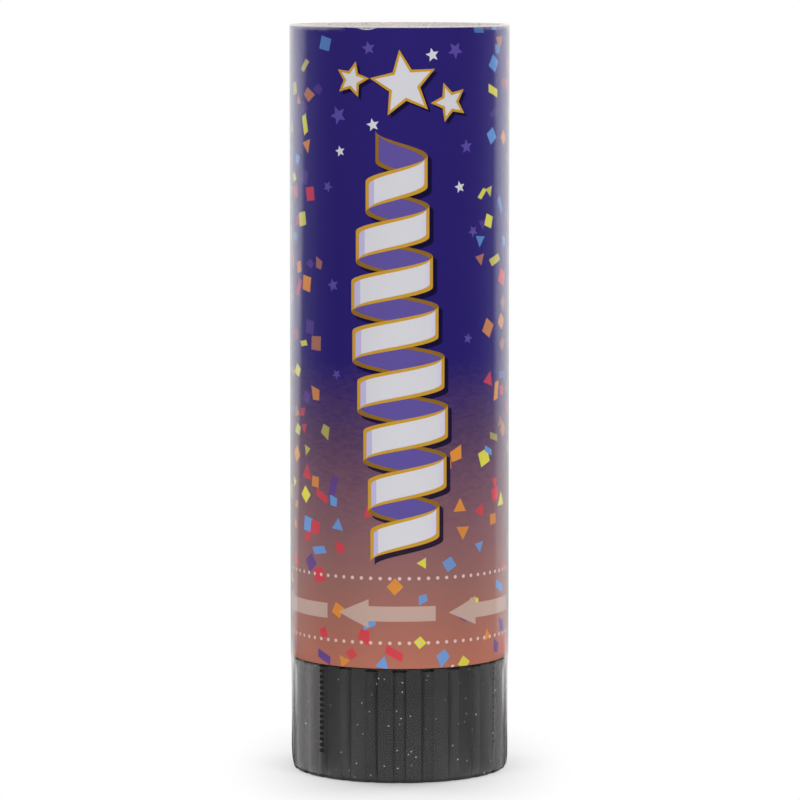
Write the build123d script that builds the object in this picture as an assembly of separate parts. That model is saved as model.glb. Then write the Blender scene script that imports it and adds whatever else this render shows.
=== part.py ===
from build123d import *
from math import asin, atan2, cos, degrees, pi, sin, sqrt, tan
import os

# A spring-driven confetti popper: a card barrel in a clear film on a fluted base that is turned to fire it.
# The frame has its origin at the middle of the underside, +Z up the barrel, and the printed front at -Y.

# Whole object
overall_height = 170.0
film_diameter = 50.0
base_height = 26.1

# Clear film
film_wall = 0.15
film_slack = 0.05
film_rim_gap = 0.35
skirt_draw = 0.1
skirt_drop = 1.2
skirt_taper = 0.15
skirt_taper_height = 1.6
film_foot_gap = 0.8

# Label and card tube
label_wall = 0.15
label_glue = 0.03
label_seam = 0.5
label_margin = 0.2
tube_wall = 1.6

# Twist grip
grip_film_gap = 0.4
seam_gap = 0.3
grip_wall = 2.4
grip_floor = 2.0
grip_edge_round = 0.5
foot_recess = 0.8
foot_width = 4.0
flute_count = 24
flute_width = 3.0
flute_depth = 0.7
notch_width = 3.2
notch_depth = 1.7
notch_height = 0.7

# Snap bead that keeps the grip on the socket
turn_clearance = 0.3
bead_height = 0.7
bead_width = 1.2
bead_clearance = 0.35
flange_height = 4.0

# Spring socket
socket_glue = 0.03
neck_wall = 1.8
plate_thickness = 3.0
skirt_depth = 11.0
shoulder_thickness = 1.5
collar_wall = 1.4
collar_height = 4.0
collar_gap = 0.5

# Stops that end the turn
lug_angle = 90.0
stop_gap = 1.5
stop_width = 3.0
stop_clearance = 0.3
stop_head_gap = 0.6

# Latch stem
twist_angle = 60.0
stem_diameter = 8.0
bar_width = 6.0
bar_height = 4.0
bar_inset = 4.0
bar_foot_gap = 0.4
latch_gap = 0.15
key_clearance = 0.3
stem_clearance = 0.08
head_diameter = 16.0
head_height = 2.2
washer_thickness = 0.8
washer_gap = 0.05

# Drive spring
spring_wire = 1.8
spring_turns = 9.5
spring_side_gap = 1.6
spring_end_gap = 0.1

# Pusher and wad
pusher_rest_gap = 0.7
slide_clearance = 0.4
pusher_plate = 2.4
pusher_height = 8.0
pusher_wall = 1.4
rib_count = 6
rib_wall = 1.2
rib_head_gap = 1.0
guide_height = 3.0
wad_thickness = 2.0

# Charge of tissue slips and the disc over it
charge_clearance = 0.5
charge_gap = 0.3
charge_layers = 25
layer_turn = 37.0
slip_length = 30.0
slip_gap = 1.0
bundle_gap = 0.4
headspace = 4.0
disc_recess = 6.0
disc_thickness = 1.5
disc_clearance = 0.1

# How far a cut runs past the piece that it cuts
overrun = 1.0

# Radii from the film inwards
film_r = film_diameter / 2
film_inner_r = film_r - film_wall
label_r = film_inner_r - film_slack
tube_r = label_r - label_wall - label_glue
bore_r = tube_r - tube_wall
skirt_r = film_r - skirt_draw
grip_r = skirt_r - film_wall - grip_film_gap
grip_bore_r = grip_r - grip_wall
bead_r = grip_bore_r - bead_height
neck_r = grip_bore_r - turn_clearance
groove_r = bead_r - bead_clearance
neck_bore_r = neck_r - neck_wall
socket_r = bore_r - socket_glue
socket_bore_r = socket_r - neck_wall
spring_r = neck_bore_r - spring_side_gap - spring_wire / 2
collar_r = spring_r - spring_wire / 2 - collar_gap
collar_bore_r = collar_r - collar_wall
bar_reach = collar_bore_r - bar_inset
stop_inner_r = bar_reach + stop_gap
stop_outer_r = neck_r - stop_gap
pusher_r = bore_r - slide_clearance
charge_r = bore_r - charge_clearance
stem_r = stem_diameter / 2
head_r = head_diameter / 2

# Heights from the underside up
floor_top = foot_recess + grip_floor
bar_bottom = floor_top + bar_foot_gap
plate_bottom = bar_bottom + bar_height + latch_gap
plate_top = plate_bottom + plate_thickness
groove_bottom = plate_bottom + flange_height
bead_bottom = groove_bottom + bead_clearance
bead_top = bead_bottom + bead_width
groove_top = bead_top + bead_clearance
grip_top = base_height - seam_gap
socket_top = base_height + skirt_depth
pusher_bottom = socket_top + pusher_rest_gap
spring_bottom = plate_top + spring_end_gap + spring_wire / 2
spring_rise = pusher_bottom - spring_end_gap - spring_wire / 2 - spring_bottom
spring_lead = spring_rise / (spring_turns * 2 * pi)
plate_upper = pusher_bottom + pusher_plate
pusher_top = pusher_bottom + pusher_height
washer_bottom = plate_upper + washer_gap
head_bottom = washer_bottom + washer_thickness + washer_gap
wad_top = pusher_top + wad_thickness
rim_top = overall_height - film_wall - film_slack
disc_top = rim_top - disc_recess
disc_bottom = disc_top - disc_thickness
charge_bottom = wad_top + charge_gap
charge_top = disc_bottom - headspace


def ring(outer_r, inner_r, bottom, top):
    """A plain ring about the axis."""
    section = Circle(outer_r) - Circle(inner_r)
    return extrude(Plane.XY.offset(bottom) * section, top - bottom)


def disc(radius, bottom, top):
    """A plain disc about the axis."""
    return extrude(Plane.XY.offset(bottom) * Circle(radius), top - bottom)


def block(length, width, bottom, top, x=0):
    """A block along X whose middle is at x."""
    return extrude(Plane.XY.offset(bottom) * Pos(x, 0) * Rectangle(length, width), top - bottom)


def profile(*points):
    """A closed outline of radii and heights, standing on the plane that the axis lies in."""
    return Plane.XZ * make_face(Polyline(*points, close=True))


# Card tube
def barrel_tube():
    return ring(tube_r, bore_r, base_height, rim_top)


# Label, one turn round the tube, its butt seam at the back
def printed_label():
    sheet = ring(label_r, label_r - label_wall, base_height, rim_top - label_margin)
    seam = Pos(0, label_r) * Rectangle(label_seam, overrun * 2)
    return sheet - extrude(Plane.XY.offset(base_height) * seam, rim_top - base_height)


# Film, drawn in a little below the label and turned in over the rim
def shrink_film():
    hem_r = bore_r + film_rim_gap
    neck_z = base_height - skirt_drop
    foot_r = skirt_r - skirt_taper
    taper_z = film_foot_gap + skirt_taper_height
    outside = [
        (hem_r, overall_height),
        (film_r, overall_height),
        (film_r, base_height),
        (skirt_r, neck_z),
        (skirt_r, taper_z),
        (foot_r, film_foot_gap),
    ]
    inside = [(r - film_wall, z) for r, z in reversed(outside[2:])]
    under_hem = overall_height - film_wall
    return revolve(profile(*outside, *inside, (film_inner_r, under_hem), (hem_r, under_hem)), Axis.Z)


def stop_angle():
    """The angle between a stop lug and a stop rib that just clear each other."""
    return degrees(asin((stop_width + stop_clearance) / stop_inner_r))


def stop(angle, bottom, top):
    """A radial block that ends the turn."""
    length = stop_outer_r - stop_inner_r
    return Rot(0, 0, angle) * block(length, stop_width, bottom, top, stop_inner_r + length / 2)


# Fluted grip, notched at the head of each flute, with the hub that turns the cross bar and two end stops
def twist_grip():
    foot_r = grip_r - foot_width
    outline = profile(
        (0, foot_recess),
        (foot_r, foot_recess),
        (foot_r, 0),
        (grip_r, 0),
        (grip_r, grip_top),
        (grip_bore_r, grip_top),
        (grip_bore_r, bead_top),
        (bead_r, bead_top),
        (bead_r, bead_bottom),
        (grip_bore_r, bead_bottom),
        (grip_bore_r, floor_top),
        (0, floor_top),
    )
    foot_corner = outline.vertices().sort_by(Axis.Z)[:2].sort_by(Axis.X)[-1]
    cup = revolve(fillet(foot_corner, grip_edge_round), Axis.Z)
    flute_r = (flute_width**2 / 4 + flute_depth**2) / (2 * flute_depth)
    flutes = PolarLocations(grip_r - flute_depth + flute_r, flute_count) * Circle(flute_r)
    cup -= extrude(Plane.XY.offset(-overrun) * Sketch(children=flutes), grip_top + 2 * overrun)
    notches = PolarLocations(grip_r, flute_count) * Rectangle(2 * notch_depth, notch_width)
    cup -= extrude(Plane.XY.offset(grip_top - notch_height) * Sketch(children=notches), notch_height)
    hub_top = plate_bottom - stop_head_gap
    slot = block(2 * (bar_reach + overrun), bar_width + 2 * key_clearance, floor_top, hub_top)
    cup += disc(bar_reach, floor_top, hub_top) - slot - disc(stem_r + key_clearance, floor_top, hub_top)
    cup += stop(lug_angle - stop_angle(), floor_top, hub_top)
    cup += stop(lug_angle + twist_angle + stop_angle(), floor_top, hub_top)
    return cup


# Socket: glued into the tube above, turning in the grip below, its floor keyed for the cross bar
def spring_socket():
    outline = profile(
        (0, plate_bottom),
        (neck_r, plate_bottom),
        (neck_r, groove_bottom),
        (groove_r, groove_bottom),
        (groove_r, groove_top),
        (neck_r, groove_top),
        (neck_r, base_height),
        (socket_r, base_height),
        (socket_r, socket_top),
        (socket_bore_r, socket_top),
        (socket_bore_r, base_height + shoulder_thickness),
        (neck_bore_r, base_height + shoulder_thickness),
        (neck_bore_r, plate_top),
        (0, plate_top),
    )
    socket = revolve(outline, Axis.Z)
    socket += ring(collar_r, collar_bore_r, plate_top, plate_top + collar_height)
    socket += stop(lug_angle, floor_top + stop_head_gap, plate_bottom)
    below = plate_bottom - overrun
    above = plate_top + overrun
    keyway = block(2 * (bar_reach + key_clearance), bar_width + 2 * key_clearance, below, above)
    return socket - disc(stem_r + key_clearance, below, above) - Rot(0, 0, -twist_angle) * keyway


# Stem with its cross bar along X, held by the key plate until the grip turns it into the keyway
def latch_stem():
    bar = block(2 * bar_reach, bar_width, bar_bottom, bar_bottom + bar_height)
    bar &= disc(bar_reach, bar_bottom, bar_bottom + bar_height)
    head = disc(head_r, head_bottom, head_bottom + head_height)
    return disc(stem_r, bar_bottom, head_bottom) + bar + head


def stem_washer():
    return ring(head_r, stem_r + stem_clearance, washer_bottom, washer_bottom + washer_thickness)


def arc(start, corner, end):
    """The arc from start to end that is tangent to both lines from the corner."""
    middle = (start + end) / 2
    half = (end - start).length / 2
    rise = (corner - middle).length
    bulge = half * tan(atan2(rise, half) / 2)
    return ThreePointArc(start, middle + (corner - middle) * (bulge / rise), end)


def biarc(start, start_way, end, end_way):
    """Two arcs that leave start and reach end along the given unit vectors."""
    span = end - start
    ways = start_way + end_way
    square = ways.dot(ways) - 4
    slope = -2 * span.dot(ways)
    reach = (-slope - sqrt(slope**2 - 4 * square * span.dot(span))) / (2 * square)
    first = start + start_way * reach
    last = end - end_way * reach
    join = (first + last) / 2
    return [arc(start, first, join), arc(join, last, end)]


def on_spring(turn):
    """A point of the wire's middle line, that many turns up."""
    angle = turn * 2 * pi
    return Vector(spring_r * cos(angle), spring_r * sin(angle), spring_bottom + spring_lead * angle)


def along_spring(turn):
    """The wire's direction there, of unit length."""
    angle = turn * 2 * pi
    return Vector(-spring_r * sin(angle), spring_r * cos(angle), spring_lead).normalized()


# Spring, compressed between the key plate and the pusher, on biarcs of a quarter turn
def drive_spring():
    quarters = round(spring_turns * 4)
    path = []
    for i in range(quarters):
        start = i / 4
        end = (i + 1) / 4
        path += biarc(on_spring(start), along_spring(start), on_spring(end), along_spring(end))
    section = Plane(on_spring(0), z_dir=along_spring(0)) * Circle(spring_wire / 2)
    steps = 36
    points = [on_spring(i / steps) for i in range(round(spring_turns * steps) + 1)]
    pairs = [(a, b) for i, a in enumerate(points) for b in points[i + steps // 2 :: 3]]
    least = min((b - a).length for a, b in pairs) - spring_wire
    print(f"drive_spring: least gap to itself {least:.2f} mm over {spring_turns} turns")
    return sweep(section, path=Wire(path))


# Pusher, a ribbed cup that slides in the tube, with a ring below that centres the spring
def pusher_cup():
    cup = disc(pusher_r, pusher_bottom, plate_upper)
    cup += ring(pusher_r, pusher_r - pusher_wall, pusher_bottom, pusher_top)
    cup += ring(collar_r, collar_bore_r, pusher_bottom - guide_height, pusher_bottom)
    inner = head_r + rib_head_gap
    length = pusher_r - pusher_wall / 2 - inner
    rib = block(length, rib_wall, plate_upper, pusher_top, inner + length / 2)
    for i in range(rib_count):
        cup += Rot(0, 0, i * 360 / rib_count) * rib
    return cup - disc(stem_r + stem_clearance, pusher_bottom - overrun, plate_upper + overrun)


def pusher_wad():
    return disc(pusher_r, pusher_top, wad_top)


def muzzle_disc():
    return disc(bore_r - disc_clearance, disc_bottom, disc_top)


# Charge: layers of two bundles of slips, each layer turned on the one below
def confetti(colour, colours):
    pitch = (charge_top - charge_bottom) / charge_layers
    half_width = sqrt(charge_r**2 - (slip_length / 2) ** 2)
    slip_width = half_width - slip_gap / 2
    bundles = []
    for i in range(charge_layers):
        for side in (0, 1):
            if (2 * i + side) % colours != colour:
                continue
            bottom = charge_bottom + i * pitch
            bundle = block(slip_length, slip_width, bottom, bottom + pitch - bundle_gap)
            across = (2 * side - 1) * (slip_gap + slip_width) / 2
            bundles.append(Rot(0, 0, i * layer_turn) * Pos(0, across, 0) * bundle)
    return Compound(children=[solid for bundle in bundles for solid in bundle.solids()])


nodes = {
    "barrel_tube": barrel_tube(),
    "printed_label": printed_label(),
    "shrink_film": shrink_film(),
    "spring_socket": spring_socket(),
    "twist_grip": twist_grip(),
    "latch_stem": latch_stem(),
    "stem_washer": stem_washer(),
    "drive_spring": drive_spring(),
    "pusher_cup": pusher_cup(),
    "pusher_wad": pusher_wad(),
    "muzzle_disc": muzzle_disc(),
}
confetti_colours = ["red", "orange", "yellow", "blue", "purple"]
for number, name in enumerate(confetti_colours):
    nodes[f"confetti_{name}"] = confetti(number, len(confetti_colours))

os.makedirs("parts", exist_ok=True)
for name, shape in nodes.items():
    export_step(shape, f"parts/{name}.step")
    print(f"{name}: {len(shape.solids())} solid(s), {shape.volume:.0f} mm3")
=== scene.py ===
# %% [markdown]
# # A confetti popper in clear film
# This lesson dresses a finished CAD model. The solids, their places and their joints come from the
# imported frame, in metres, with the origin at the middle of the underside, +Z up the barrel and the
# printed front at -Y. Blender adds what CAD leaves plain: printed paper, shrink film, moulded plastic,
# wire and tissue.

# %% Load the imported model
import math
import random
from functools import partial

import bpy
from mathutils import Matrix, Vector, geometry


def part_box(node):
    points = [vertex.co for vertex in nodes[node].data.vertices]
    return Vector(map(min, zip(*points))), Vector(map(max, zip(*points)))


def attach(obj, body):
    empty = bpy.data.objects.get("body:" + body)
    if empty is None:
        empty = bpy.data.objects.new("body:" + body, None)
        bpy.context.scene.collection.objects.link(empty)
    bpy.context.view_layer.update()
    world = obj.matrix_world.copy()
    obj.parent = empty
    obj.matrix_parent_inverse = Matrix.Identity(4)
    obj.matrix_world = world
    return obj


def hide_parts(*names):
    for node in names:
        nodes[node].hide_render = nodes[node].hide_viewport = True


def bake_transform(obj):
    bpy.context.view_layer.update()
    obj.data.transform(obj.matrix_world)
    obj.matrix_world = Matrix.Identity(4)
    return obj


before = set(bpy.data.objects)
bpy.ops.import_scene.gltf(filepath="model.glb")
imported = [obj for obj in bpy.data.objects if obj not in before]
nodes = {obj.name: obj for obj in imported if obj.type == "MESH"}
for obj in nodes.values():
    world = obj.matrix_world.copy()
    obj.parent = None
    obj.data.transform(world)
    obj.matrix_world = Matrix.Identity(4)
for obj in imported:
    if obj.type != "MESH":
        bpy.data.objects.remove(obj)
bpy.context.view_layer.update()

MM = 0.001

# %% [markdown]
# ## Helpers for every finish
# Colours are picked as sRGB hex values, which is how an eye or a colour card reads them, and Blender
# mixes light in linear values. One function does that change. A second one adds a node with its settings
# and its links, so that a material reads from top to bottom like a recipe.

# %% Colour, nodes and materials
def linear(code):
    """A colour written as sRGB hex, as linear red, green, blue and alpha."""
    parts = [int(code[i : i + 2], 16) / 255 for i in (1, 3, 5)]
    return tuple(c / 12.92 if c <= 0.04045 else ((c + 0.055) / 1.055) ** 2.4 for c in parts) + (1.0,)


def add_node(tree, kind, sockets=None, stops=None, **settings):
    """Adds a node: settings are its properties, sockets its values, or nodes or outputs that feed them."""
    node = tree.nodes.new(kind)
    for key, value in settings.items():
        setattr(node, key, value)
    for key, value in (sockets or {}).items():
        if isinstance(value, bpy.types.Node):
            value = value.outputs[0]
        if isinstance(value, bpy.types.NodeSocket):
            tree.links.new(value, node.inputs[key])
        else:
            node.inputs[key].default_value = value
    if stops:
        ramp = node.color_ramp
        while len(ramp.elements) < len(stops):
            ramp.elements.new(1.0)
        for element, (place, code) in zip(ramp.elements, stops):
            element.position = place
            element.color = linear(code)
    return node


def start_material(name):
    """An empty material, and the function that adds nodes to it."""
    material = bpy.data.materials.new(name)
    material.use_nodes = True
    material.node_tree.nodes.clear()
    return material, partial(add_node, material.node_tree)


def per_metre(size_mm):
    """The scale that gives a texture features of about this size, for coordinates in metres."""
    return 1.0 / (size_mm * MM)


print("middle grey in linear light:", round(linear("#808080")[0], 3))

# %% [markdown]
# ## Helpers for every shape
# A piece is a list of points in millimetres and a list of faces. Solidify then gives a sheet its
# thickness and closes its edges, which is easier than writing the inner side by hand, and it also walls
# the small holes in a sheet.

# %% Pieces from points
SHEET_CREASE = 45


def new_piece(name, points_mm, faces, materials):
    """A smooth-shaded mesh object from points in millimetres."""
    mesh = bpy.data.meshes.new(name)
    mesh.from_pydata([(x * MM, y * MM, z * MM) for x, y, z in points_mm], [], faces)
    for material in materials:
        mesh.materials.append(material)
    mesh.polygons.foreach_set("use_smooth", [True] * len(mesh.polygons))
    piece = bpy.data.objects.new(name, mesh)
    bpy.context.scene.collection.objects.link(piece)
    return piece


def thicken(piece, thickness_mm, rim_material=0):
    """Gives a sheet its thickness on the inner side, as part of its mesh, with crisp edges."""
    solid = piece.modifiers.new("thickness", "SOLIDIFY")
    solid.thickness = thickness_mm * MM
    solid.offset = -1.0
    solid.material_offset_rim = rim_material
    depsgraph = bpy.context.evaluated_depsgraph_get()
    mesh = bpy.data.meshes.new_from_object(piece.evaluated_get(depsgraph))
    piece.modifiers.clear()
    piece.data = mesh
    mesh.set_sharp_from_angle(angle=math.radians(SHEET_CREASE))


def mount(piece, body, slot, *replaced):
    """The piece moves with a body and stands for CAD nodes; the slot is not used."""
    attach(piece, body)
    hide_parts(*replaced)
    print(piece.name, "rides on", body, "with", len(piece.data.polygons), "faces")


print("sheets have sharp edges over", SHEET_CREASE, "degrees")

# %% [markdown]
# ## The camera
# The picture was taken from a little above with a long lens: the tube's sides look almost parallel, and
# the rim at the top shows as a thin ellipse while the foot shows as a deeper one. A 218 mm lens 1.1 m
# away gives both.

# %% Camera
CAMERA_AT = (0.0001, -1.0995, 0.1928)
CAMERA_DOWN = 5.635
LENS, SENSOR = 217.7, 36.0

camera_data = bpy.data.cameras.new("camera")
camera_data.lens = LENS
camera_data.sensor_width = SENSOR
camera = bpy.data.objects.new("camera", camera_data)
camera.location = CAMERA_AT
camera.rotation_euler = (math.radians(90.0 - CAMERA_DOWN), 0.0, 0.0)
bpy.context.scene.collection.objects.link(camera)
bpy.context.scene.camera = camera
bpy.context.scene.view_settings.view_transform = "Standard"
print("camera", CAMERA_AT, "lens", LENS)

# %% [markdown]
# ## The studio
# The popper stands on a white table before a white sweep. The world is white to the camera and to
# reflections, and an even grey for the light that it gives. The floor is matt white and keeps the soft
# shadow, a little in front of the popper. Outside an oval round the foot it glows plain white to the camera
# and in reflections. Inside the oval it shows a matt grey paper, darker than that glow even where no shadow
# falls, so the oval is a painted shadow over the real one. It has no underside, so the foot can be looked at
# from below.

# %% World
AMBIENT = 0.42


def seen_or_mirrored(add):
    """A node: 1 for what the camera sees, straight, mirrored or through glass, and 0 for lighting."""
    rays = add("ShaderNodeLightPath")
    first_two = {0: rays.outputs["Is Camera Ray"], 1: rays.outputs["Is Glossy Ray"]}
    seen = add("ShaderNodeMath", first_two, operation="MAXIMUM")
    return add("ShaderNodeMath", {0: seen, 1: rays.outputs["Is Transmission Ray"]}, operation="MAXIMUM")


world = bpy.data.worlds.new("white_studio")
world.use_nodes = True
world.node_tree.nodes.clear()
add = partial(add_node, world.node_tree)
ambient = add("ShaderNodeBackground", {"Color": linear("#f7f8fa"), "Strength": AMBIENT})
white = add("ShaderNodeBackground", {"Color": linear("#ffffff"), "Strength": 1.0})
choice = add("ShaderNodeMixShader", {0: seen_or_mirrored(add), 1: ambient, 2: white})
add("ShaderNodeOutputWorld", {"Surface": choice})
bpy.context.scene.world = world
print("world", world.name, "gives light of", AMBIENT)

# %% Floor
FLOOR_HALF, FLOOR_FRONT, FLOOR_BACK, FLOOR_Z = 1200.0, -160.0, 1500.0, -0.05
SHADOW_FORWARD, SHADOW_SQUEEZE = 1.0, 0.49
SHADOW_R, WHITE_R = 9.0, 42.0
SHADOW_GLOW = 0.05

paper, add = start_material("matt_white_paper_sweep")
spot = add("ShaderNodeTexCoord")
# Painted shadow: in this oval round the foot, a little to the front, the floor shows its matt grey paper
# instead of the white glow.
oval = add("ShaderNodeMapping", {
    "Vector": spot.outputs["Object"],
    "Scale": (1.0, SHADOW_SQUEEZE, 1.0),
    "Location": (0.0, SHADOW_FORWARD * SHADOW_SQUEEZE * MM, 0.0),
})
away = add("ShaderNodeVectorMath", {0: oval}, operation="LENGTH")
fade = add("ShaderNodeMapRange", {
    "Value": away.outputs["Value"],
    "From Min": SHADOW_R * MM,
    "From Max": WHITE_R * MM,
    "To Min": SHADOW_GLOW,
    "To Max": 1.0,
}, interpolation_type="SMOOTHSTEP")
share = add("ShaderNodeMath", {0: seen_or_mirrored(add), 1: fade}, operation="MULTIPLY")
matt = add("ShaderNodeBsdfDiffuse", {"Color": linear("#cccccc")})
glow = add("ShaderNodeEmission", {"Color": linear("#ffffff"), "Strength": 1.0})
sweep = add("ShaderNodeMixShader", {0: share, 1: matt, 2: glow})
side = add("ShaderNodeNewGeometry")
nothing = add("ShaderNodeBsdfTransparent")
one_sided = add("ShaderNodeMixShader", {0: side.outputs["Backfacing"], 1: sweep, 2: nothing})
add("ShaderNodeOutputMaterial", {"Surface": one_sided})

corners = [(-1, FLOOR_FRONT), (1, FLOOR_FRONT), (1, FLOOR_BACK), (-1, FLOOR_BACK)]
floor_points = [(end * FLOOR_HALF, y, FLOOR_Z) for end, y in corners]
floor = new_piece("floor", floor_points, [(0, 1, 2, 3)], [paper])
print("floor", floor.dimensions[:])

# %% [markdown]
# ## Flags for the reflections
# A clear glossy film would mirror white from all round and look milky. So flags stand round the popper, out
# of sight, nearly black in front and white at the back, with a cloth at their foot, in the places of the
# felt flags of a real product studio. They glow, and only reflections see them, so what the film and the
# base mirror from them is a painted reflection. The white at the back gives the film its pale edges. The
# base mirrors only the cloth close to it, which glows white in front, dark beside the base and white again
# behind it, so that each flute has a light and a dark wall. Angles are in degrees from the front, and the
# right side is positive.

# %% Flags
FLAG_R, FLAG_TOP = 1400.0, 1100.0
CLOTH_R, CLOTH_Z = 25.05, 0.1
CLOTH_OUT = 2.5 * CLOTH_R
NEAR_R, FAR_R, RISE = 120.0, 250.0, 120.0
FLAG_DARK, FLAG_GREY, FAR_WHITE = 0.05, 0.25, 0.65
FRONT_ENDS, BACK_STARTS = (35, 75), (132, 150)
GREY_STARTS, RIGHT_STARTS = (60, 105), (109, 124)
LEFT_START, LEFT_WIDTH = 125, 13
LEFT_OUT, LEFT_UP = 7, 10
FLAG_STEPS = 180


def smooth_step(value, start, end):
    """0 up to the start, 1 from the end, and a smooth rise between them."""
    share = min(1.0, max(0.0, (value - start) / (end - start)))
    return share * share * (3 - 2 * share)


def flag_grey(angle, radius, z):
    """How bright the flags glow for reflections at an angle, so far from the popper and so high up."""
    side = abs(angle)
    behind = smooth_step(side, *BACK_STARTS) * smooth_step(radius, CLOTH_R, CLOTH_OUT)
    near = max(1 - smooth_step(side, *FRONT_ENDS), behind, FLAG_DARK)
    out = smooth_step(radius, FAR_R, FLAG_R)
    start = LEFT_START - LEFT_OUT * out - LEFT_UP * smooth_step(z, CLOTH_Z, RISE)
    white_from = RIGHT_STARTS if angle > 0 else (start, start + LEFT_WIDTH)
    white = smooth_step(side, *white_from) * (FAR_WHITE + (1 - FAR_WHITE) * out)
    far = max(white, FLAG_DARK + (FLAG_GREY - FLAG_DARK) * smooth_step(side, *GREY_STARTS))
    reach = smooth_step(radius, NEAR_R, FAR_R)
    return near * (1 - reach) + far * reach


# Painted reflection: the flags glow with this grey, and only glossy rays see them.
reflection_glow, add = start_material("glowing_flag_painted_reflection")
grey = add("ShaderNodeAttribute", attribute_name="grey")
mirrored = add("ShaderNodeEmission", {"Color": linear("#fffeff"), "Strength": grey.outputs["Fac"]})
add("ShaderNodeOutputMaterial", {"Surface": mirrored})

cloth_rings = (CLOTH_R, 1.7 * CLOTH_R, CLOTH_OUT, NEAR_R, 150, 185, 215, FAR_R, 450, 800, FLAG_R)
profile = [(radius, CLOTH_Z) for radius in cloth_rings]
profile += [(FLAG_R, z) for z in (RISE / 2, RISE, FLAG_TOP)]
n = len(profile)
flag_points, flag_faces, greys = [], [], []
for i in range(FLAG_STEPS + 1):
    angle = -180 + 360 * i / FLAG_STEPS
    turn = math.radians(angle)
    for radius, z in profile:
        flag_points.append((radius * math.sin(turn), -radius * math.cos(turn), z))
        greys.append(flag_grey(angle, radius, z))
for i in range(FLAG_STEPS):
    for j in range(n - 1):
        k = n * i + j
        flag_faces.append((k, k + n, k + n + 1, k + 1))
flags = new_piece("flags", flag_points, flag_faces, [reflection_glow])
flags.data.attributes.new("grey", "FLOAT", "POINT").data.foreach_set("value", greys)
flags.visible_camera = False
flags.visible_diffuse = False
flags.visible_transmission = False
flags.visible_shadow = False
print("flags:", len(flag_faces), "faces")

# %% [markdown]
# ## Lamps
# Two soft boxes stand half to the left and half to the right. Two more stand behind and light the sides
# of the label, and a wide one overhead lights the rim and fills the shadow.

# %% Lamps
BARREL_AIM, FOOT_AIM = (0.0, 0.0, 0.08), (0.0, 0.0, 0.0)


def soft_lamp(name, place, aim, size, power):
    """A square soft box that shines at a point and isn't mirrored in the film."""
    data = bpy.data.lights.new(name, "AREA")
    data.shape = "SQUARE"
    data.size = size
    data.energy = power
    lamp = bpy.data.objects.new(name, data)
    lamp.location = place
    lamp.rotation_euler = (Vector(aim) - Vector(place)).to_track_quat("-Z", "Y").to_euler()
    lamp.visible_glossy = False
    bpy.context.scene.collection.objects.link(lamp)
    print(name, power, "W")


soft_lamp("right_box", (0.80, -0.90, 0.60), BARREL_AIM, 0.5, 8.5)
soft_lamp("left_box", (-0.85, -0.85, 0.60), BARREL_AIM, 0.5, 7.0)
soft_lamp("right_back_box", (0.98, 0.62, 0.45), BARREL_AIM, 0.6, 11.0)
soft_lamp("left_back_box", (-0.98, 0.62, 0.45), BARREL_AIM, 0.6, 9.0)
soft_lamp("top_box", (0.0, 0.10, 1.25), FOOT_AIM, 1.0, 5.0)

# %% [markdown]
# ## The label's layout
# The label is one sheet of coated paper, wrapped round the tube with its seam at the back. It is drawn
# flat: u runs round the tube in millimetres, with 0 at the front and right positive, and v runs up from
# the label's lower edge. Every printed shape is a closed outline with a colour and a cover. The shapes
# are real edges in the mesh, so they stay crisp however near the camera comes, which a painted texture
# would not.

# %% Label sheet
label_low, label_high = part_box("printed_label")
LABEL_R = label_high.x / MM
LABEL_FOOT = label_low.z / MM
LABEL_HEIGHT = (label_high.z - label_low.z) / MM
LABEL_WALL = 0.15
SEAM = 0.5
HALF_TURN = math.pi * LABEL_R - SEAM / 2
prints = []


def ink(outline, colour, cover=1.0):
    """Prints a closed outline of (u, v) points, kept anticlockwise, over what is there already."""
    after = outline[1:] + outline[:1]
    area = sum(p[0] * q[1] - q[0] * p[1] for p, q in zip(outline, after))
    prints.append((outline if area > 0 else outline[::-1], linear(colour)[:3] + (cover,)))


def round_tube(u, v):
    """A flat label point, wrapped round the tube."""
    angle = u / LABEL_R
    return (LABEL_R * math.sin(angle), -LABEL_R * math.cos(angle), LABEL_FOOT + v)


print("label", round(2 * HALF_TURN, 1), "by", round(LABEL_HEIGHT, 1), "mm")

# %% [markdown]
# ## Printed confetti
# Paper chips in five colours fall down the sides and gather at the foot of the label. A jittered grid
# spreads them without clumps. The middle of the front stays free for the main design, and the chips on
# the dark blue are thinner ink, so the ground shows through and they look further away.

# %% Confetti chips
CHIP_GRID = 4.9
CHIP_SIZE = (2.2, 3.6)
CHIP_JITTER = (0.1, 0.9)
CHIP_COLOURS = ["#d8d244", "#5f96d2", "#d68b35", "#cc3a48", "#5a3f8c"]
CHIP_SHAPES = {
    "square": [(-0.5, -0.45), (0.45, -0.5), (0.55, 0.4), (-0.4, 0.5)],
    "kite": [(0.0, -0.75), (0.5, 0.05), (0.05, 0.5), (-0.45, 0.0)],
    "triangle": [(-0.55, -0.4), (0.6, -0.35), (0.0, 0.6)],
    "strip": [(-0.35, -0.65), (0.2, -0.55), (0.4, 0.65), (-0.15, 0.55)],
}
CHIP_MIX = ["square", "kite", "triangle", "strip", "square"]
BLUE_FROM, FADE_FROM = 48, 22
ARROWS_FROM, ARROWS_TO = 7, 19
DESIGN_HALF, DESIGN_EDGE, FADE_HALF = 17, 22, 13
THIN_COVER, FULL_COVER = (0.3, 0.85), (0.75, 0.98)
chips = random.Random(11)


def chip(u, v, size, turn):
    """The outline of a cut paper chip of a random shape."""
    corners = CHIP_SHAPES[chips.choice(CHIP_MIX)]
    c, s = math.cos(turn), math.sin(turn)
    return [(u + size * (x * c - y * s), v + size * (x * s + y * c)) for x, y in corners]


def chip_chance(u, v):
    """How likely a chip is at a place on the label."""
    side = abs(u)
    if v > BLUE_FROM:
        return 0.0 if side < DESIGN_HALF else 0.4 if side < DESIGN_EDGE else 0.75
    if v > FADE_FROM:
        return 0.12 if side < FADE_HALF else 0.62
    return 0.3 if ARROWS_FROM < v < ARROWS_TO else 0.8


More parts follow.
